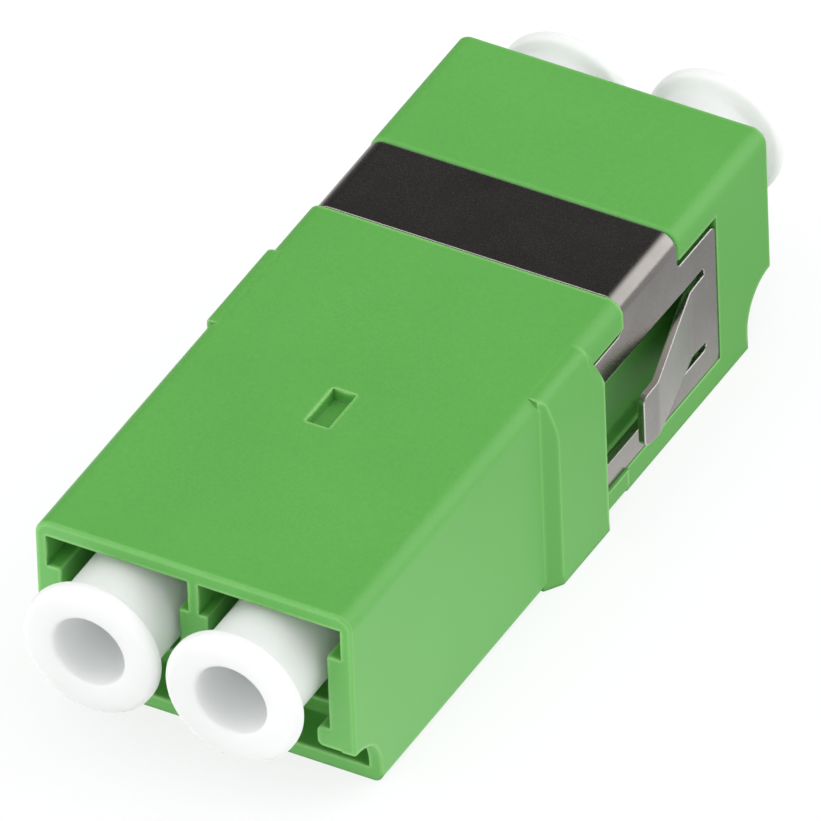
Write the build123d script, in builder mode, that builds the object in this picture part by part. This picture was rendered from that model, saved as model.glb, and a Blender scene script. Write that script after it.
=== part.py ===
from build123d import *
import os

# Duplex fibre coupler without flange ears. X runs across the two ports, Y from the front ports (-Y)
# to the rear ports (+Y) and Z up. The origin is the middle of the flat underside. Millimetres.

# Moulded body
body_length = 33.4
body_width = 13.76
body_height = 9.4
rear_relief = 0.1           # the stretch behind the strap is this much narrower on each side
roof_fillet = 0.65
base_fillet = 0.4
rear_base_fillet = 0.05
edge_round = 0.12
port_pitch = 6.25           # standard spacing of the two plugs
port_axis_drop = 3.2        # from the roof down to the axis of the plugs

# Port mouth, the same at both ends
mouth_depth = 5.2
roof_wall = 0.65
upper_wall = 0.48           # thin wall beside the upper zone
upper_zone = 2.1            # from the roof down to the floor of the wider upper zone
upper_web = 0.46
side_wall = 1.08
centre_wall = 1.24
lip_reach = 0.55            # lips that hold the plug down
lip_top_z = 3.75
lip_bottom_z = 2.8
lip_depth = 2.3
lip_round = 0.25
lower_wall = 0.58
floor_wall = 0.6
shelf_depth = 4.0           # the wider zones at the top and bottom of the mouth are shallower

# Finger scoop below the ports
scoop_depth = 2.0
scoop_height = 2.75
scoop_radius = 1.9

# Plug bores and the wall between the two ends
bore_side = 4.6
latch_neck_width = 3.4
latch_foot_width = 4.6
latch_foot_height = 1.4
latch_floor_z = 1.3
latch_end = 4.0             # distance of the latch slot's end from the middle
bulkhead = 1.6

# Sleeve holders and split ceramic sleeves
holder_clearance = 0.04
holder_flange = 1.2
holder_reach = 5.4          # tube's tip from the middle
holder_tube_d = 2.6
holder_spigot_d = 2.9
holder_gap = 0.1
holder_flange_corner = 0.4
holder_tip_chamfer = 0.2
bulkhead_hole_d = 3.0
tip_bore_d = 1.57           # a lip here keeps the sleeve in
sleeve_length = 6.8
sleeve_bore_d = 1.25
sleeve_wall = 0.21
sleeve_slit = 0.25
sleeve_clearance = 0.04
sleeve_end_play = 0.1

# Panel stops on both sides
stop_left_front_y = -3.2    # the left one starts further forward
stop_right_front_y = -1.85
stop_ramp = 0.75
stop_rear_y = 2.55
stop_slope = 0.8            # the top falls away towards the rear face over this length
stop_inset = 1.2            # the stops' sections start this far inside the body
stop_curve = (              # points of the section's top corner: outwards from the side, down from the roof
    (-0.38, 0.02), (0.08, 0.2), (0.24, 0.8), (0.38, 1.65), (0.44, 2.8),
)
stop_rear_curve = (         # the same at the rear face, where the clip passes
    (-0.38, 1.05), (-0.08, 1.3), (0.17, 1.6), (0.38, 1.95), (0.44, 2.8),
)

# Folded spring-steel panel clip and the recess that it sits in
sheet = 0.3
clip_gap = 0.05
strap_front_y = 4.95
strap_length = 4.45
strap_drop = 0.0            # the strap's top lies this far under the roof
strap_bend = 0.75
strap_lip_round = 0.2       # the roof's edge behind the strap
neck_round = 0.3            # where the strap's edges run into the plates' top edges
plate_front_y = 1.1
plate_rear_y = 12.45
plate_bottom_z = 1.15
plate_top_drop = 1.65        # from the roof down to the plate's top edge
plate_corner = 0.35
plate_set_in = 0.02
recess_over_plate = 0.35
window_front_y = 2.1
window_rear_y = 11.5
window_bottom_z = 2.3
window_top_z = 6.35
window_round = 0.25         # its two rear corners
pocket_depth = 0.5          # behind the window, under the plate's own recess
pocket_edge = 0.3

# Spring tongue in each window
tongue_root_low_z = 2.67
tongue_root_high_z = 5.96
tongue_tip_low_z = 3.1
tongue_tip_high_z = 5.5
tongue_tip_y = 4.25
tongue_bend_y = 5.35
tongue_root_bend_y = 10.4
tongue_reach = 1.33
tongue_corner = 0.35
tongue_hook = 0.03
tongue_bend_radius = 1.2

# Blind slot in the roof
slot_width = 1.0
slot_length = 2.2
slot_depth = 0.55
slot_y = -5.75

# Dust caps
cap_flange_d = 5.84
cap_flange = 0.7
cap_proud = {               # flange's outer face from the body's end: each cap is pushed in a little differently
    (-1, -1): 2.75, (-1, 1): 2.85, (1, -1): 2.2, (1, 1): 2.8,
}
cap_length = 13.35
cap_stem_d = 4.5
cap_hole_d = 3.1
cap_hole_depth = 8.0
cap_inner_depth = 3.6
cap_rim = 0.2
cap_chamfer = 0.25

half_length = body_length / 2
half_width = body_width / 2
port_axis_z = body_height - port_axis_drop
upper_floor_z = body_height - upper_zone
plate_top_z = body_height - plate_top_drop
recess_top_z = plate_top_z + recess_over_plate
port_x = port_pitch / 2
recess_depth = sheet + clip_gap + plate_set_in
recess_x = half_width - rear_relief - recess_depth
pocket_x = recess_x - pocket_depth
neck_height = (plate_top_drop - strap_drop - strap_bend) / 2
strap_rear_y = strap_front_y + strap_length
strap_top_z = body_height - strap_drop
strap_floor_z = strap_top_z - sheet - clip_gap
plate_outer_x = half_width - rear_relief - plate_set_in
sleeve_outer_d = sleeve_bore_d + 2 * sleeve_wall
sleeve_room = sleeve_length / 2 + sleeve_end_play

os.makedirs("parts", exist_ok=True)


def block(x_low, x_high, y_low, y_high, z_low, z_high, mode=Mode.ADD):
    """A plain rectangular volume between six limits, added to or cut from the piece being built."""
    with BuildSketch(Plane.XY.offset(z_low)) as outline:
        with Locations(((x_low + x_high) / 2, (y_low + y_high) / 2)):
            Rectangle(x_high - x_low, y_high - y_low)
    extrude(outline.sketch, amount=z_high - z_low, mode=mode)


def at_end(side, end, x_near, x_far, depth, z_low, z_high, mode=Mode.SUBTRACT):
    """A volume that starts in one end face, beside the middle plane on one side."""
    x_low, x_high = sorted((side * x_near, side * x_far))
    y_low, y_high = sorted((end * half_length, end * (half_length - depth)))
    block(x_low, x_high, y_low, y_high, z_low, z_high, mode)


def stop_section(side, y, curve):
    """One cross-section of a panel stop: upright outer side and a drawn-out round at the top."""
    corner = [(side * (half_width + outwards), body_height - down) for outwards, down in curve]
    root_x = side * (half_width - stop_inset)
    with BuildSketch(Plane(origin=(0, y, 0), x_dir=(1, 0, 0), z_dir=(0, -1, 0))) as section:
        with BuildLine():
            Spline(*corner)
            Polyline(corner[-1], (corner[-1][0], 0), (root_x, 0), (root_x, corner[0][1]), corner[0])
        make_face()
    return section.sketch


def panel_stop(side, front_y):
    """Panel stop on one side, with its front cut off at a slant so that the panel cut-out slides up it."""
    root_x = side * (half_width - stop_inset)
    outer_x = side * (half_width + stop_curve[-1][0])
    with BuildPart() as stop:
        front = stop_section(side, front_y, stop_curve)
        level = stop_section(side, stop_rear_y - stop_slope, stop_curve)
        back = stop_section(side, stop_rear_y, stop_rear_curve)
        loft([front, level, back], ruled=True)
        with BuildSketch(Plane.XY) as plan:
            with BuildLine():
                Polyline(
                    (root_x, front_y),
                    (side * (half_width - clip_gap), front_y),
                    (outer_x, front_y + stop_ramp),
                    (outer_x, stop_rear_y),
                    (root_x, stop_rear_y),
                    (root_x, front_y),
                )
            make_face()
        extrude(plan.sketch, amount=body_height, mode=Mode.INTERSECT)
    return stop.part


# The body is one moulding: outer block, panel stops, recess for the clip, ports and scoops
with BuildPart() as housing:
    with BuildSketch(Plane.XZ.offset(half_length)) as front_outline:
        with Locations((0, body_height / 2)):
            Rectangle(body_width, body_height)
        fillet(front_outline.vertices().group_by(Axis.Y)[-1], roof_fillet)
        fillet(front_outline.vertices().group_by(Axis.Y)[0], base_fillet)
    extrude(amount=-(half_length + strap_front_y))
    with BuildSketch(Plane.XZ.offset(-half_length)) as rear_outline:
        with Locations((0, body_height / 2)):
            Rectangle(body_width - 2 * rear_relief, body_height)
        fillet(rear_outline.vertices().group_by(Axis.Y)[-1], roof_fillet)
        fillet(rear_outline.vertices().group_by(Axis.Y)[0], rear_base_fillet)
    extrude(amount=half_length - strap_front_y)
    end_edges = housing.edges().filter_by(
        lambda e: abs(abs(e.center().Y) - half_length) < 1e-6 and e.center().Z > scoop_height
    )
    fillet(end_edges, edge_round)

    # Panel stops: a ramp from the front, a slope on top and a square face at the rear
    add(panel_stop(-1, stop_left_front_y))
    add(panel_stop(1, stop_right_front_y))

    # Recess for the strap across the roof, with a curved fall to each side recess
    with BuildSketch(Plane.XZ.offset(-(strap_front_y - clip_gap))) as strap_room:
        with Locations((0, body_height)):
            Rectangle(2 * body_width, 2 * body_height)
        with Locations((0, strap_floor_z / 2)):
            Rectangle(2 * recess_x, strap_floor_z, mode=Mode.SUBTRACT)
        inner_corners = strap_room.vertices().filter_by(
            lambda v: abs(v.Y - strap_floor_z) < 1e-6 and abs(abs(v.X) - recess_x) < 1e-6
        )
        fillet(inner_corners, strap_bend - sheet)
        with Locations((0, plate_bottom_z / 2)):
            Rectangle(2 * body_width, plate_bottom_z, mode=Mode.SUBTRACT)
    extrude(amount=-(strap_length + 2 * clip_gap), mode=Mode.SUBTRACT)
    rear_lip = housing.edges().filter_by(
        lambda e: abs(e.center().Y - strap_rear_y - clip_gap) < 1e-6 and abs(e.center().Z - body_height) < 1e-6
    )
    fillet(rear_lip, strap_lip_round)
    for side in (1, -1):
        low_x, high_x = sorted((side * recess_x, side * half_width))
        block(
            low_x, high_x, plate_front_y - clip_gap, plate_rear_y + clip_gap, plate_bottom_z, recess_top_z,
            mode=Mode.SUBTRACT,
        )
        low_x, high_x = sorted((side * pocket_x, side * recess_x))
        block(
            low_x, high_x, window_front_y + pocket_edge, window_rear_y - pocket_edge,
            window_bottom_z + pocket_edge / 2, window_top_z - pocket_edge / 2, mode=Mode.SUBTRACT,
        )

    # Ports: mouth, lips, plug bore and latch slot, cut from both ends
    for end in (-1, 1):
        for side in (1, -1):
            at_end(
                side, end, centre_wall / 2, half_width - side_wall, mouth_depth,
                lip_bottom_z, body_height - roof_wall,
            )
            at_end(
                side, end, upper_web / 2, half_width - upper_wall, shelf_depth,
                upper_floor_z, body_height - roof_wall,
            )
            at_end(
                side, end, centre_wall / 2, half_width - lower_wall, shelf_depth,
                floor_wall, lip_bottom_z,
            )
            at_end(
                side, end, port_x - bore_side / 2, port_x + bore_side / 2, half_length - bulkhead / 2,
                port_axis_z - bore_side / 2, port_axis_z + bore_side / 2,
            )
            at_end(
                side, end, port_x - latch_neck_width / 2, port_x + latch_neck_width / 2,
                half_length - latch_end, latch_floor_z, port_axis_z,
            )
            at_end(
                side, end, port_x - latch_foot_width / 2, port_x + latch_foot_width / 2,
                half_length - latch_end, latch_floor_z, latch_floor_z + latch_foot_height,
            )
            at_end(
                side, end, half_width - side_wall - lip_reach, half_width - side_wall / 2, lip_depth,
                lip_bottom_z, lip_top_z, mode=Mode.ADD,
            )
            lip_edges = housing.edges().filter_by(Axis.Y).filter_by(
                lambda e: abs(e.center().X - side * (half_width - side_wall - lip_reach)) < 1e-6
                and e.center().Y * end > half_length - lip_depth
                and lip_bottom_z - 0.01 < e.center().Z < lip_top_z + 0.01
            )
            fillet(lip_edges, lip_round)

        # Finger scoop: a step across the underside with a large inside round
        scoop_y = end * (half_length - scoop_depth)
        with BuildSketch(Plane.YZ.offset(-body_width)) as scoop:
            with Locations((scoop_y + end * scoop_depth, 0)):
                Rectangle(2 * scoop_depth, 2 * scoop_height)
            inner_corner = scoop.vertices().filter_by(
                lambda v: abs(v.X - scoop_y) < 1e-6 and abs(v.Y - scoop_height) < 1e-6
            )
            fillet(inner_corner, scoop_radius)
        extrude(amount=2 * body_width, mode=Mode.SUBTRACT)

    # Holes through the wall between the ends, one for each sleeve
    with BuildSketch(Plane.XZ.offset(bulkhead)):
        with Locations((-port_x, port_axis_z), (port_x, port_axis_z)):
            Circle(bulkhead_hole_d / 2)
    extrude(amount=-2 * bulkhead, mode=Mode.SUBTRACT)

    # Blind slot in the roof
    block(
        -slot_width / 2, slot_width / 2, slot_y - slot_length / 2, slot_y + slot_length / 2,
        body_height - slot_depth, body_height + slot_depth, mode=Mode.SUBTRACT,
    )
housing.part.label = "housing"
export_step(housing.part, "parts/housing.step")


def spring_tongue(side):
    """Tongue in one window: a bent strip seen from above, trimmed to its tapered outline seen from the side."""
    root_x = side * plate_outer_x
    tip_x = side * (plate_outer_x + tongue_reach)
    root_y = window_rear_y + plate_corner
    with BuildPart() as tongue:
        with BuildSketch(Plane.XY.offset(window_bottom_z)) as strip:
            with BuildLine():
                Polyline(
                    (root_x, root_y),
                    (root_x, tongue_root_bend_y),
                    (tip_x, tongue_bend_y),
                    (tip_x - side * tongue_hook, tongue_tip_y),
                    (tip_x - side * (tongue_hook + sheet), tongue_tip_y),
                    (tip_x - side * sheet, tongue_bend_y),
                    (root_x - side * sheet, tongue_root_bend_y),
                    (root_x - side * sheet, root_y),
                    (root_x, root_y),
                )
            make_face()
            bends = strip.vertices().filter_by(
                lambda v: tongue_bend_y - 0.1 < v.Y < tongue_root_bend_y + 0.1
            )
            fillet(bends, tongue_bend_radius)
        extrude(amount=window_top_z - window_bottom_z)
        with BuildSketch(Plane.YZ.offset(-body_width)) as outline:
            with BuildLine():
                Polyline(
                    (root_y, tongue_root_low_z),
                    (window_rear_y, tongue_root_low_z),
                    (tongue_tip_y, tongue_tip_low_z),
                    (tongue_tip_y, tongue_tip_high_z),
                    (window_rear_y, tongue_root_high_z),
                    (root_y, tongue_root_high_z),
                    (root_y, tongue_root_low_z),
                )
            make_face()
            tip_corners = outline.vertices().filter_by(lambda v: abs(v.X - tongue_tip_y) < 1e-6)
            fillet(tip_corners, tongue_corner)
        extrude(amount=2 * body_width, mode=Mode.INTERSECT)
    return tongue.part


# The clip is one folded sheet: a strap over the roof and a plate with a spring tongue on each side
with BuildPart() as panel_clip:
    with BuildSketch(Plane.XZ.offset(-strap_front_y)) as bent_band:
        with Locations((0, strap_top_z / 2)):
            Rectangle(2 * plate_outer_x, strap_top_z)
        fillet(bent_band.vertices().group_by(Axis.Y)[-1], strap_bend)
        with Locations((0, (strap_top_z - sheet) / 2)):
            Rectangle(2 * (plate_outer_x - sheet), strap_top_z - sheet, mode=Mode.SUBTRACT)
        inner_corners = bent_band.vertices().filter_by(
            lambda v: abs(v.Y - strap_top_z + sheet) < 1e-6 and abs(abs(v.X) - plate_outer_x + sheet) < 1e-6
        )
        fillet(inner_corners, strap_bend - sheet)
        with Locations((0, plate_top_z / 2)):
            Rectangle(2 * body_width, plate_top_z, mode=Mode.SUBTRACT)
    extrude(amount=-strap_length)
    for side in (1, -1):
        with BuildSketch(Plane.YZ.offset(side * plate_outer_x)) as side_plate:
            with Locations(((plate_front_y + plate_rear_y) / 2, (plate_bottom_z + plate_top_z) / 2)):
                RectangleRounded(plate_rear_y - plate_front_y, plate_top_z - plate_bottom_z, plate_corner)
            with Locations((strap_front_y + strap_length / 2, plate_top_z)):
                Rectangle(strap_length, 2 * neck_height)
            neck_corners = side_plate.vertices().filter_by(
                lambda v: abs(v.Y - plate_top_z) < 1e-6 and strap_front_y - 0.01 < v.X < strap_rear_y + 0.01
            )
            fillet(neck_corners, neck_round)
            with Locations(
                ((window_front_y + window_rear_y) / 2, (window_bottom_z + window_top_z) / 2)
            ):
                Rectangle(
                    window_rear_y - window_front_y, window_top_z - window_bottom_z, mode=Mode.SUBTRACT
                )
            window_corners = side_plate.vertices().filter_by(
                lambda v: abs(v.X - window_rear_y) < 1e-6 and window_bottom_z - 0.01 < v.Y < window_top_z + 0.01
            )
            fillet(window_corners, window_round)
        extrude(amount=-side * sheet)
        add(spring_tongue(side))
panel_clip.part.label = "panel_clip"
export_step(panel_clip.part, "parts/panel_clip.step")


def sleeve_holder(side, end):
    """Tube with a square flange that is pressed into a port and traps one half of a ceramic sleeve."""
    flange_side = bore_side - 2 * holder_clearance
    centre = (side * port_x, 0, port_axis_z)
    plane = Plane(origin=centre, x_dir=(1, 0, 0), z_dir=(0, end, 0))
    with BuildPart() as holder:
        with BuildSketch(plane.offset(bulkhead / 2)) as flange:
            Rectangle(flange_side, flange_side)
            chamfer(flange.vertices(), holder_flange_corner)
        extrude(amount=holder_flange)
        with BuildSketch(plane.offset(holder_gap / 2)):
            Circle(holder_spigot_d / 2)
        extrude(amount=bulkhead / 2 - holder_gap / 2 + holder_flange / 2)
        with BuildSketch(plane.offset(bulkhead / 2)):
            Circle(holder_tube_d / 2)
        extrude(amount=holder_reach - bulkhead / 2)
        tip_edges = holder.edges().filter_by(GeomType.CIRCLE).sort_by(Axis.Y)[-1 if end > 0 else 0]
        chamfer(tip_edges, holder_tip_chamfer)
        with BuildSketch(plane):
            Circle(sleeve_outer_d / 2 + sleeve_clearance)
        extrude(amount=sleeve_room, mode=Mode.SUBTRACT)
        with BuildSketch(plane):
            Circle(tip_bore_d / 2)
        extrude(amount=holder_reach, mode=Mode.SUBTRACT)
    return holder.part


def ceramic_sleeve(side):
    """Split ceramic sleeve, a thin tube with one lengthwise slit at the top."""
    plane = Plane(origin=(side * port_x, sleeve_length / 2, port_axis_z), x_dir=(1, 0, 0), z_dir=(0, -1, 0))
    with BuildPart() as sleeve:
        with BuildSketch(plane):
            Circle(sleeve_outer_d / 2)
            Circle(sleeve_bore_d / 2, mode=Mode.SUBTRACT)
            with Locations((0, sleeve_outer_d / 2)):
                Rectangle(sleeve_slit, sleeve_outer_d, mode=Mode.SUBTRACT)
        extrude(amount=sleeve_length)
    return sleeve.part


def dust_cap(side, end):
    """Turned profile: round flange with a blind hole, and a stem that is hollow at its inner end."""
    face = half_length + cap_proud[end, side]
    stem_end = face - cap_length
    stem_face = face - cap_flange
    with BuildPart() as cap:
        with BuildSketch(Plane.XY) as profile:
            with BuildLine():
                Polyline(
                    (0, face - cap_hole_depth),
                    (cap_hole_d / 2, face - cap_hole_depth),
                    (cap_hole_d / 2, face),
                    (cap_flange_d / 2, face),
                    (cap_flange_d / 2, stem_face),
                    (cap_stem_d / 2, stem_face),
                    (cap_stem_d / 2, stem_end),
                    (cap_hole_d / 2, stem_end),
                    (cap_hole_d / 2, stem_end + cap_inner_depth),
                    (0, stem_end + cap_inner_depth),
                    (0, face - cap_hole_depth),
                )
            make_face()
            flange_corners = profile.vertices().filter_by(lambda v: abs(v.X - cap_flange_d / 2) < 1e-6)
            chamfer(flange_corners, cap_rim)
            stem_corner = profile.vertices().filter_by(
                lambda v: abs(v.X - cap_stem_d / 2) < 1e-6 and abs(v.Y - stem_end) < 1e-6
            )
            chamfer(stem_corner, cap_chamfer)
        revolve(axis=Axis.Y)
    placed = cap.part if end > 0 else cap.part.mirror(Plane.XZ)
    return placed.translate((side * port_x, 0, port_axis_z))


for side, side_name in ((-1, "left"), (1, "right")):
    sleeve = ceramic_sleeve(side)
    sleeve.label = f"ceramic_sleeve_{side_name}"
    export_step(sleeve, f"parts/{sleeve.label}.step")
    for end, end_name in ((-1, "front"), (1, "rear")):
        holder = sleeve_holder(side, end)
        holder.label = f"{end_name}_sleeve_holder_{side_name}"
        export_step(holder, f"parts/{holder.label}.step")
        cap = dust_cap(side, end)
        cap.label = f"{end_name}_dust_cap_{side_name}"
        export_step(cap, f"parts/{cap.label}.step")
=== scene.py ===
import math
import bmesh
import bpy
import numpy as np
from mathutils import Matrix, Vector


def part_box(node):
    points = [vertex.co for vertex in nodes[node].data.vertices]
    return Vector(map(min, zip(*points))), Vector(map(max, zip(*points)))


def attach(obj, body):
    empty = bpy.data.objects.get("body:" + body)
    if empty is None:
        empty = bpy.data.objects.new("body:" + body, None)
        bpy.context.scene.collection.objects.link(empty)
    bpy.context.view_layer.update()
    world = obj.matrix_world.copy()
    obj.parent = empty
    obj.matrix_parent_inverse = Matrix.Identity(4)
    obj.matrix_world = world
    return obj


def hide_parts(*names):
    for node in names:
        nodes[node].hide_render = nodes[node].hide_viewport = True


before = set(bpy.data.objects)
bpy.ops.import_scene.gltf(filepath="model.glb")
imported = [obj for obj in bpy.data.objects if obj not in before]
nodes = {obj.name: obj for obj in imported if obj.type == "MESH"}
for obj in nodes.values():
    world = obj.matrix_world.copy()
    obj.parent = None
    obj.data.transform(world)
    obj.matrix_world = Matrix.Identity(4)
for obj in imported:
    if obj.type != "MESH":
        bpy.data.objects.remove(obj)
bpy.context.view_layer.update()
print("frame loaded:", len(nodes), "nodes")

mm = 0.001


# Small helpers for shader trees

noiseSpread = (0.3, 0.7)      # noise seldom leaves this range
mixUnder, mixOver, mixResult = 6, 7, 2      # the sockets of a Mix node that hold colours


def newMaterial(name):
    material = bpy.data.materials.new(name)
    material.use_nodes = True
    tree = material.node_tree
    return material, tree, tree.nodes["Principled BSDF"]


def addNode(tree, kind, **values):
    node = tree.nodes.new(kind)
    for key, value in values.items():
        if hasattr(node, key):
            setattr(node, key, value)
        else:
            node.inputs[key].default_value = value
    return node


def feed(tree, source, socket):
    # another node's output is linked, and a plain value is set
    if isinstance(source, bpy.types.NodeSocket):
        tree.links.new(source, socket)
    else:
        socket.default_value = source


def calculate(tree, operation, first, second):
    node = addNode(tree, "ShaderNodeMath", operation=operation)
    feed(tree, first, node.inputs[0])
    feed(tree, second, node.inputs[1])
    return node.outputs[0]


def dotProduct(tree, first, second):
    node = addNode(tree, "ShaderNodeVectorMath", operation="DOT_PRODUCT")
    feed(tree, first, node.inputs[0])
    feed(tree, second, node.inputs[1])
    return node.outputs["Value"]


def mixNumbers(tree, share, first, second):
    node = addNode(tree, "ShaderNodeMix", data_type="FLOAT")
    feed(tree, share, node.inputs["Factor"])
    feed(tree, first, node.inputs["A"])
    feed(tree, second, node.inputs["B"])
    return node.outputs["Result"]


def mixColours(tree, share, under, over):
    node = addNode(tree, "ShaderNodeMix", data_type="RGBA")
    feed(tree, share, node.inputs["Factor"])
    feed(tree, under, node.inputs[mixUnder])
    feed(tree, (*over, 1), node.inputs[mixOver])
    return node.outputs[mixResult]


def remap(tree, source, fromRange, toRange):
    node = tree.nodes.new("ShaderNodeMapRange")
    node.inputs["From Min"].default_value, node.inputs["From Max"].default_value = fromRange
    node.inputs["To Min"].default_value, node.inputs["To Max"].default_value = toRange
    tree.links.new(source, node.inputs["Value"])
    return node.outputs["Result"]


def ramp(tree, source, stops):
    node = tree.nodes.new("ShaderNodeValToRGB")
    for element, (position, colour) in zip(node.color_ramp.elements, stops):
        element.position = position
        element.color = (*colour, 1)
    tree.links.new(source, node.inputs["Fac"])
    return node.outputs["Color"]


def objectPlace(tree, stretch=(1, 1, 1)):
    # place on the piece itself, in metres, stretched for a pattern
    place = tree.nodes.new("ShaderNodeTexCoord")
    mapping = tree.nodes.new("ShaderNodeMapping")
    mapping.inputs["Scale"].default_value = stretch
    tree.links.new(place.outputs["Object"], mapping.inputs["Vector"])
    return mapping.outputs["Vector"]


def noise(tree, place, pattern):
    node = tree.nodes.new("ShaderNodeTexNoise")
    node.inputs["Scale"].default_value = pattern["scale"]
    node.inputs["Detail"].default_value = pattern["detail"]
    node.inputs["Roughness"].default_value = pattern["roughness"]
    tree.links.new(place, node.inputs["Vector"])
    return node.outputs["Fac"]


def bump(tree, height, relief, under):
    node = tree.nodes.new("ShaderNodeBump")
    node.inputs["Strength"].default_value = relief["strength"]
    node.inputs["Distance"].default_value = relief["depth"]
    tree.links.new(height, node.inputs["Height"])
    tree.links.new(under, node.inputs["Normal"])
    return node.outputs["Normal"]


# Edges: shading rounds them as a mould or a press does, and finds the outer ones, which get a painted
# highlight

edgeFinder = {
    "roundSamples": 6,
    "lean": (0.998, 0.90),       # cosine between the true and the rounded normal, on a flat and on an edge
    "openness": (0.80, 0.97),    # an inner corner is below the first, an outer edge above the second
    "reach": 2,                  # how far openness looks, in edge radii
    "openSamples": 4,
}


def roundedNormal(tree, radius):
    node = addNode(tree, "ShaderNodeBevel", samples=edgeFinder["roundSamples"], Radius=radius)
    return node.outputs["Normal"]


def paintedHighlightMask(tree, rounded, radius):
    # mask of the painted edge highlight: 1 where the rounded normal leans away from the true one and
    # nothing stands near, 0 elsewhere
    look = edgeFinder
    reach = look["reach"] * radius
    geometry = tree.nodes.new("ShaderNodeNewGeometry")
    around = addNode(tree, "ShaderNodeAmbientOcclusion", samples=look["openSamples"], Distance=reach)
    lean = remap(tree, dotProduct(tree, rounded, geometry.outputs["Normal"]), look["lean"], (0, 1))
    openness = remap(tree, around.outputs["AO"], look["openness"], (0, 1))
    return calculate(tree, "MULTIPLY", lean, openness)


# Finishes

housingFinish = {
    "colours": [(0.36, (0.103, 0.408, 0.062)), (0.64, (0.117, 0.442, 0.073))],
    "paintedHighlightColour": (0.300, 0.740, 0.200),     # painted highlight: the outer edges are painted a lighter green
    "roughRange": (0.44, 0.56),
    "specular": 0.70,
    "cloud": {"scale": 110, "detail": 3, "roughness": 0.55},
    "grain": {"scale": 9000, "detail": 2, "roughness": 0.6},     # mould texture, a tenth of a millimetre
    "grainShare": 0.5,       # how much of the colour's variation is fine
    "grainRelief": {"depth": 0.004 * mm, "strength": 0.5},
    "edgeRound": 0.28 * mm,
}


def makeHousingFinish():
    look = housingFinish
    material, tree, shader = newMaterial("greenPlastic")
    place = objectPlace(tree)
    cloud = noise(tree, place, look["cloud"])
    grain = noise(tree, place, look["grain"])
    mottle = mixNumbers(tree, look["grainShare"], cloud, grain)
    rounded = roundedNormal(tree, look["edgeRound"])
    # the outer edges get a painted highlight, mixed into the plastic's own colour
    paintedHighlight = paintedHighlightMask(tree, rounded, look["edgeRound"])
    colour = mixColours(tree, paintedHighlight, ramp(tree, mottle, look["colours"]), look["paintedHighlightColour"])
    feed(tree, colour, shader.inputs["Base Color"])
    feed(tree, remap(tree, grain, noiseSpread, look["roughRange"]), shader.inputs["Roughness"])
    feed(tree, bump(tree, grain, look["grainRelief"], rounded), shader.inputs["Normal"])
    feed(tree, look["specular"], shader.inputs["Specular IOR Level"])
    return material


steelFinish = {
    "colours": [(0.30, (0.38, 0.358, 0.335)), (0.62, (0.47, 0.447, 0.422))],
    "paintedHighlightColour": (0.95, 0.94, 0.91),        # painted highlight: the outer edges of the sheet are painted near white
    "paintedHighlightShare": 0.85,
    "roughRange": (0.17, 0.29),
    "stain": {"scale": 260, "detail": 4, "roughness": 0.6},
    "rolling": {"scale": 2600, "detail": 3, "roughness": 0.6},
    "rollingStretch": (1, 0.04, 1),          # rolling lines run along the body
    "rollingRelief": {"depth": 0.004 * mm, "strength": 0.5},
    "speck": {"scale": 16000, "detail": 2, "roughness": 0.7},
    "speckRelief": {"depth": 0.003 * mm, "strength": 0.6},
    "edgeRound": 0.09 * mm,
}


def makeSteelFinish():
    look = steelFinish
    material, tree, shader = newMaterial("springSteel")
    stain = noise(tree, objectPlace(tree), look["stain"])
    rolling = noise(tree, objectPlace(tree, look["rollingStretch"]), look["rolling"])
    speck = noise(tree, objectPlace(tree), look["speck"])
    rounded = roundedNormal(tree, look["edgeRound"])
    # the outer edges get a painted highlight, mixed into the steel's own colour up to this share
    paintedHighlight = remap(tree, paintedHighlightMask(tree, rounded, look["edgeRound"]), (0, 1), (0, look["paintedHighlightShare"]))
    colour = mixColours(tree, paintedHighlight, ramp(tree, stain, look["colours"]), look["paintedHighlightColour"])
    lines = bump(tree, rolling, look["rollingRelief"], rounded)
    feed(tree, colour, shader.inputs["Base Color"])
    feed(tree, remap(tree, speck, noiseSpread, look["roughRange"]), shader.inputs["Roughness"])
    feed(tree, bump(tree, speck, look["speckRelief"], lines), shader.inputs["Normal"])
    feed(tree, 1.0, shader.inputs["Metallic"])
    return material


capFinish = {
    "colours": [(0.30, (0.940, 0.958, 0.968)), (0.66, (0.955, 0.970, 0.980))],
    "roughRange": (0.38, 0.52),
    "cloud": {"scale": 330, "detail": 3, "roughness": 0.5},
    "grain": {"scale": 5200, "detail": 2, "roughness": 0.5},
    "grainRelief": {"depth": 0.003 * mm, "strength": 0.35},
    "edgeRound": 0.08 * mm,
    "soakShare": 0.90,                 # how much of the light soaks into the soft plastic
    "soakDepth": 1.6 * mm,             # and how far
    "soakColours": (1.0, 1.0, 1.0),    # red, green and blue alike
}


def makeCapFinish():
    look = capFinish
    material, tree, shader = newMaterial("milkyPolyethylene")
    place = objectPlace(tree)
    cloud = noise(tree, place, look["cloud"])
    grain = noise(tree, place, look["grain"])
    rounded = roundedNormal(tree, look["edgeRound"])
    feed(tree, ramp(tree, cloud, look["colours"]), shader.inputs["Base Color"])
    feed(tree, remap(tree, grain, noiseSpread, look["roughRange"]), shader.inputs["Roughness"])
    feed(tree, bump(tree, grain, look["grainRelief"], rounded), shader.inputs["Normal"])
    feed(tree, look["soakShare"], shader.inputs["Subsurface Weight"])
    feed(tree, look["soakDepth"], shader.inputs["Subsurface Scale"])
    feed(tree, look["soakColours"], shader.inputs["Subsurface Radius"])
    return material


holderFinish = {
    "colours": [(0.3, (0.05, 0.26, 0.04)), (0.7, (0.08, 0.34, 0.06))],
    "roughRange": (0.34, 0.46),
    "cloud": {"scale": 240, "detail": 3, "roughness": 0.5},
    "grain": {"scale": 8000, "detail": 2, "roughness": 0.5},
}


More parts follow.
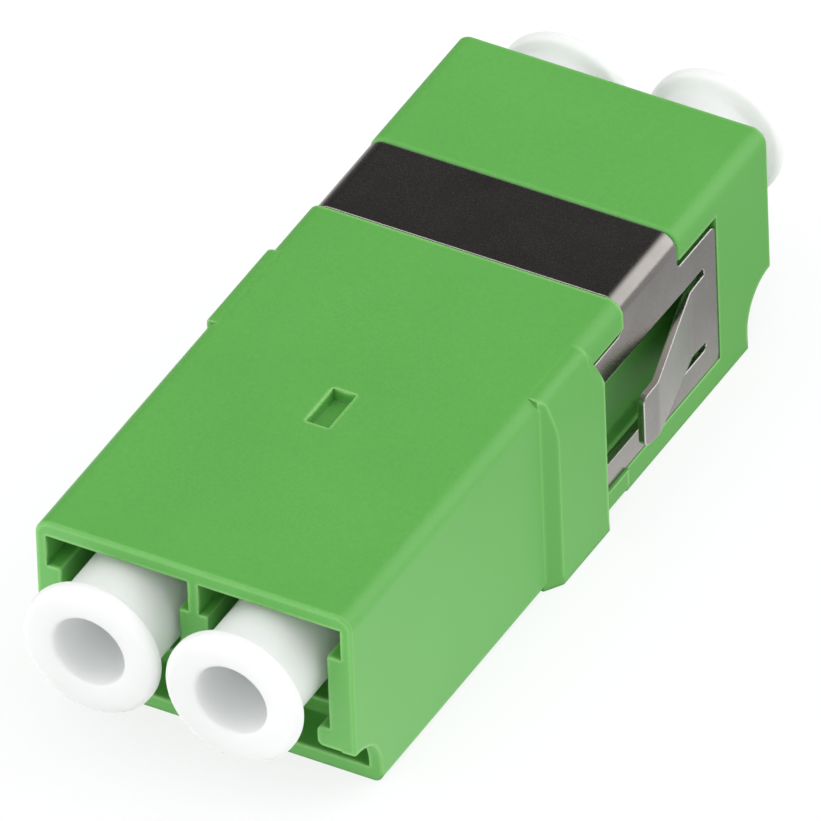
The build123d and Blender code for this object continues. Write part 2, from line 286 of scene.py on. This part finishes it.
def makeHolderFinish():
    look = holderFinish
    material, tree, shader = newMaterial("holderPlastic")
    place = objectPlace(tree)
    cloud = noise(tree, place, look["cloud"])
    grain = noise(tree, place, look["grain"])
    feed(tree, ramp(tree, cloud, look["colours"]), shader.inputs["Base Color"])
    feed(tree, remap(tree, grain, noiseSpread, look["roughRange"]), shader.inputs["Roughness"])
    return material


ceramicFinish = {
    "colours": [(0.3, (0.84, 0.82, 0.77)), (0.7, (0.90, 0.88, 0.84))],
    "roughRange": (0.12, 0.22),
    "rings": {"scale": 1800, "detail": 2, "roughness": 0.5},
    "ringStretch": (1, 6, 1),          # grinding leaves fine rings round the sleeve
}


def makeCeramicFinish():
    look = ceramicFinish
    material, tree, shader = newMaterial("groundCeramic")
    rings = noise(tree, objectPlace(tree, look["ringStretch"]), look["rings"])
    feed(tree, ramp(tree, rings, look["colours"]), shader.inputs["Base Color"])
    feed(tree, remap(tree, rings, noiseSpread, look["roughRange"]), shader.inputs["Roughness"])
    return material


finishes = {
    "housing": makeHousingFinish(),
    "panel_clip": makeSteelFinish(),
    "sleeve_holder": makeHolderFinish(),
    "ceramic_sleeve": makeCeramicFinish(),
    "dust_cap": makeCapFinish(),
}


def dressNode(name, obj):
    kind = next(key for key in finishes if key in name)
    obj.data.materials.clear()
    obj.data.materials.append(finishes[kind])


for nodeName, nodeObject in nodes.items():
    dressNode(nodeName, nodeObject)
print("finishes on", len(nodes), "nodes")


# Dust caps: soft turned shapes with round rims, each in place of its plainer CAD solid

capShape = {
    "flangeRadius": 2.92 * mm,
    "flange": 0.70 * mm,
    "frontRound": 0.30 * mm,
    "backRound": 0.22 * mm,
    "holeRadius": 1.55 * mm,
    "holeRound": 0.14 * mm,
    "holeDepth": 8.0 * mm,
    "holeFootRound": 0.25 * mm,
    "neckRound": 0.25 * mm,
    "stemRadius": 2.25 * mm,
    "stemRound": 0.25 * mm,
    "innerDepth": 3.6 * mm,
    "around": 120,
    "perCorner": 10,
    "runPoints": (3, 10, 14, 6),     # between corners, on the flat rings, hole, stem and hollow end
}

sameSpot = 1e-7      # metres, within which points are one


def cornerArc(sharp, inwards, radius, startDegrees, endDegrees, count):
    # a quarter circle in place of a sharp corner: its centre lies one radius inwards both ways, and its
    # points are the centre plus radius times cosine and sine of evenly spaced angles
    angles = np.radians(np.linspace(startDegrees, endDegrees, count))
    centre = np.array(sharp) + radius * np.array(inwards)
    return centre + radius * np.stack([np.cos(angles), np.sin(angles)], axis=1)


def pointsBetween(start, end, count):
    # evenly spaced points on a straight run, without its two ends
    return np.linspace(start, end, count + 2)[1:-1]


def capProfile(face, stemEnd):
    # radius and distance outwards from the middle plane, from the foot of the blind hole over the flange
    # and the stem to the bottom of the hollow end
    look = capShape
    back, foot = face - look["flange"], face - look["holeDepth"]
    bottom = stemEnd + look["innerDepth"]
    hole, flange, stem = look["holeRadius"], look["flangeRadius"], look["stemRadius"]
    ringRun, holeRun, stemRun, hollowRun = look["runPoints"]
    corners = [
        # points on the run before, sharp corner, way inwards, radius, first and last angle
        (ringRun, (hole, foot), (-1, 1), look["holeFootRound"], -90, 0),
        (holeRun, (hole, face), (1, -1), look["holeRound"], 180, 90),
        (ringRun, (flange, face), (-1, -1), look["frontRound"], 90, 0),
        (0, (flange, back), (-1, 1), look["backRound"], 0, -90),
        (0, (stem, back), (1, -1), look["neckRound"], 90, 180),
        (stemRun, (stem, stemEnd), (-1, 1), look["stemRound"], 0, -90),
        (0, (hole, stemEnd), (1, 1), look["holeRound"], -90, -180),
    ]
    stretches = [np.array([(0.0, foot)])]
    for between, *corner in corners:
        arc = cornerArc(*corner, look["perCorner"])
        stretches += [pointsBetween(stretches[-1][-1], arc[0], between), arc]
    stretches.append(pointsBetween(stretches[-1][-1], (hole, bottom), hollowRun))
    stretches.append(np.array([(hole, bottom), (0.0, bottom)]))
    return np.concatenate(stretches)


def addPiece(name, points, faces, finish, body, node):
    mesh = bpy.data.meshes.new(name)
    mesh.from_pydata(points.tolist(), [], faces.tolist())
    cleaner = bmesh.new()
    cleaner.from_mesh(mesh)
    bmesh.ops.remove_doubles(cleaner, verts=cleaner.verts, dist=sameSpot)
    cleaner.to_mesh(mesh)
    cleaner.free()
    mesh.polygons.foreach_set("use_smooth", np.ones(len(mesh.polygons), dtype=bool))
    mesh.materials.append(finishes[finish])
    piece = bpy.data.objects.new(name, mesh)
    bpy.context.scene.collection.objects.link(piece)
    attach(piece, body)
    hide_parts(node)


def makeCap(endName, end, sideName):
    nodeName = f"{endName}_dust_cap_{sideName}"
    low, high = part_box(nodeName)
    centreX, centreZ = (low.x + high.x) / 2, (low.z + high.z) / 2
    face, stemEnd = (high.y, low.y) if end > 0 else (-low.y, -high.y)
    profile = capProfile(face, stemEnd)
    # every profile point is turned about the cap's axis: x and z from radius times cosine and sine
    around = capShape["around"]
    angles = np.linspace(0, 2 * math.pi, around, endpoint=False)
    radius, outward = profile[:, :1], profile[:, 1:]
    x = centreX + radius * np.cos(angles)
    z = centreZ + radius * np.sin(angles)
    y = end * outward * np.ones_like(angles)
    points = np.stack([x, y, z], axis=2).reshape(-1, 3)
    rows, columns = np.meshgrid(np.arange(len(profile) - 1), np.arange(around), indexing="ij")
    nextColumns = (columns + 1) % around
    corners = [rows * around + columns, rows * around + nextColumns,
               (rows + 1) * around + nextColumns, (rows + 1) * around + columns]
    if end > 0:
        corners.reverse()      # so that faces point outwards at this end too
    faces = np.stack(corners, axis=2).reshape(-1, 4)
    pieceName, body = f"{endName}Cap{sideName.title()}", f"{endName}_cap_{sideName}"
    addPiece(pieceName, points, faces, "dust_cap", body, nodeName)


for capEnd, capSign in (("front", -1), ("rear", 1)):
    for capSide in ("left", "right"):
        makeCap(capEnd, capSign, capSide)
print("dust caps made")


# Studio: a pale floor, soft panels of light in the world, and a camera at the photograph's viewpoint

studio = {
    "floorSize": 3.0,
    "floorColour": (0.86, 0.86, 0.86, 1),
    "floorShown": (0.24, 0.24, 0.25, 1),     # the floor that the camera sees answers less to shadow
    "paperGlow": 0.78,
    "cardTowards": (-0.35, -0.94, 0),        # reflections see a floor that brightens this way
    "cardPlaces": (-0.022, 0.024),           # between these places along it, in metres
    "cardGlows": (0.18, 1.70),
    "ambient": 0.52,
    "roomHeights": (0.05, 0.45),             # reflections see a room that is bright near the floor
    "roomGlows": (0.13, 0.043),              # and dark overhead, as under a hooded table
    "backdropGlow": 1.0,
    "backdropColour": (1, 1, 1, 1),
    "panels": [
        # direction from the object, cosines where the panel fades out and where it is full, brightness
        {"towards": (0.75, 0.60, 0.28), "fade": (0.50, 0.85), "glow": 1.25},
        {"towards": (-0.60, -0.74, 0.30), "fade": (0.48, 0.80), "glow": 0.87},
        {"towards": (-0.30, -0.95, 0.05), "fade": (0.75, 0.93), "glow": 0.46},
        {"towards": (0.10, -0.20, 0.97), "fade": (0.72, 0.92), "glow": 0.37},
    ],
}


def anyRay(tree, path, *kinds):
    # 1 for rays of these kinds and 0 for others
    share = path.outputs[kinds[0]]
    for kind in kinds[1:]:
        share = calculate(tree, "MAXIMUM", share, path.outputs[kind])
    return share


def makeFloorFinish():
    # plain paper to the object, and glowing paper to the camera, reflections and clear parts
    material = bpy.data.materials.new("paleFloor")
    material.use_nodes = True
    tree = material.node_tree
    tree.nodes.clear()
    path = tree.nodes.new("ShaderNodeLightPath")
    place = tree.nodes.new("ShaderNodeTexCoord")
    along = dotProduct(tree, place.outputs["Object"], studio["cardTowards"])
    card = remap(tree, along, studio["cardPlaces"], studio["cardGlows"])
    strength = mixNumbers(tree, path.outputs["Is Glossy Ray"], studio["paperGlow"], card)
    glow = tree.nodes.new("ShaderNodeEmission")
    paper = addNode(tree, "ShaderNodeBsdfDiffuse", Color=studio["floorColour"])
    paperShown = addNode(tree, "ShaderNodeBsdfDiffuse", Color=studio["floorShown"])
    glowing = tree.nodes.new("ShaderNodeAddShader")
    either = tree.nodes.new("ShaderNodeMixShader")
    out = tree.nodes.new("ShaderNodeOutputMaterial")
    seen = anyRay(tree, path, "Is Camera Ray", "Is Glossy Ray", "Is Transmission Ray")
    feed(tree, strength, glow.inputs["Strength"])
    feed(tree, paperShown.outputs[0], glowing.inputs[0])
    feed(tree, glow.outputs[0], glowing.inputs[1])
    feed(tree, seen, either.inputs["Fac"])
    feed(tree, paper.outputs[0], either.inputs[1])
    feed(tree, glowing.outputs[0], either.inputs[2])
    feed(tree, either.outputs[0], out.inputs["Surface"])
    return material


def makeFloor():
    corners = studio["floorSize"] / 2 * np.array([(-1, -1, 0), (1, -1, 0), (1, 1, 0), (-1, 1, 0)])
    mesh = bpy.data.meshes.new("floor")
    mesh.from_pydata(corners.tolist(), [], [(0, 1, 2, 3)])
    mesh.materials.append(makeFloorFinish())
    floor = bpy.data.objects.new("floor", mesh)
    bpy.context.scene.collection.objects.link(floor)


def makeWorld():
    world = bpy.data.worlds.new("studioWorld")
    bpy.context.scene.world = world
    world.use_nodes = True
    tree = world.node_tree
    tree.nodes.clear()
    ray = tree.nodes.new("ShaderNodeTexCoord").outputs["Generated"]
    path = tree.nodes.new("ShaderNodeLightPath")
    upright = tree.nodes.new("ShaderNodeSeparateXYZ")
    feed(tree, ray, upright.inputs[0])
    room = remap(tree, upright.outputs["Z"], studio["roomHeights"], studio["roomGlows"])
    total = mixNumbers(tree, path.outputs["Is Glossy Ray"], studio["ambient"], room)
    for panel in studio["panels"]:
        # brightness rises with the cosine between the ray and the panel's direction
        facing = dotProduct(tree, ray, Vector(panel["towards"]).normalized())
        glow = remap(tree, facing, panel["fade"], (0.0, panel["glow"]))
        glow.node.interpolation_type = "SMOOTHSTEP"
        total = calculate(tree, "ADD", total, glow)
    shown = anyRay(tree, path, "Is Camera Ray", "Is Transmission Ray")
    background = addNode(tree, "ShaderNodeBackground", Color=studio["backdropColour"])
    out = tree.nodes.new("ShaderNodeOutputWorld")
    feed(tree, mixNumbers(tree, shown, total, studio["backdropGlow"]), background.inputs["Strength"])
    feed(tree, background.outputs[0], out.inputs["Surface"])


# Viewpoint solved from the body's straight edges: turned about the upright, raised and slightly rolled
viewpoint = {
    "aim": (0.000564, -0.000700, 0.005831),
    "distance": 1.5,
    "turn": math.radians(30.209),
    "rise": math.radians(39.007),
    "roll": math.radians(-2.191),
    "lens": 1715.9,
    "sensorWidth": 36,
    "nearest": 0.01,
}


def makeCamera():
    view = viewpoint
    cosTurn, sinTurn = math.cos(view["turn"]), math.sin(view["turn"])
    cosRise, sinRise = math.cos(view["rise"]), math.sin(view["rise"])
    cosRoll, sinRoll = math.cos(view["roll"]), math.sin(view["roll"])
    back = Vector((sinTurn * cosRise, -cosTurn * cosRise, sinRise))
    right = Vector((cosTurn, sinTurn, 0))
    up = Vector((-sinTurn * sinRise, cosTurn * sinRise, cosRise))
    rolledRight = cosRoll * right + sinRoll * up
    rolledUp = cosRoll * up - sinRoll * right
    place = Vector(view["aim"]) + view["distance"] * back
    lens = bpy.data.cameras.new("camera")
    lens.lens = view["lens"]
    lens.sensor_width = view["sensorWidth"]
    lens.clip_start = view["nearest"]
    camera = bpy.data.objects.new("camera", lens)
    bpy.context.scene.collection.objects.link(camera)
    turned = Matrix((rolledRight, rolledUp, back)).transposed().to_4x4()
    camera.matrix_world = Matrix.Translation(place) @ turned
    bpy.context.scene.camera = camera


makeFloor()
makeWorld()
makeCamera()
bpy.context.scene.view_settings.view_transform = "Standard"
print("studio and camera set")
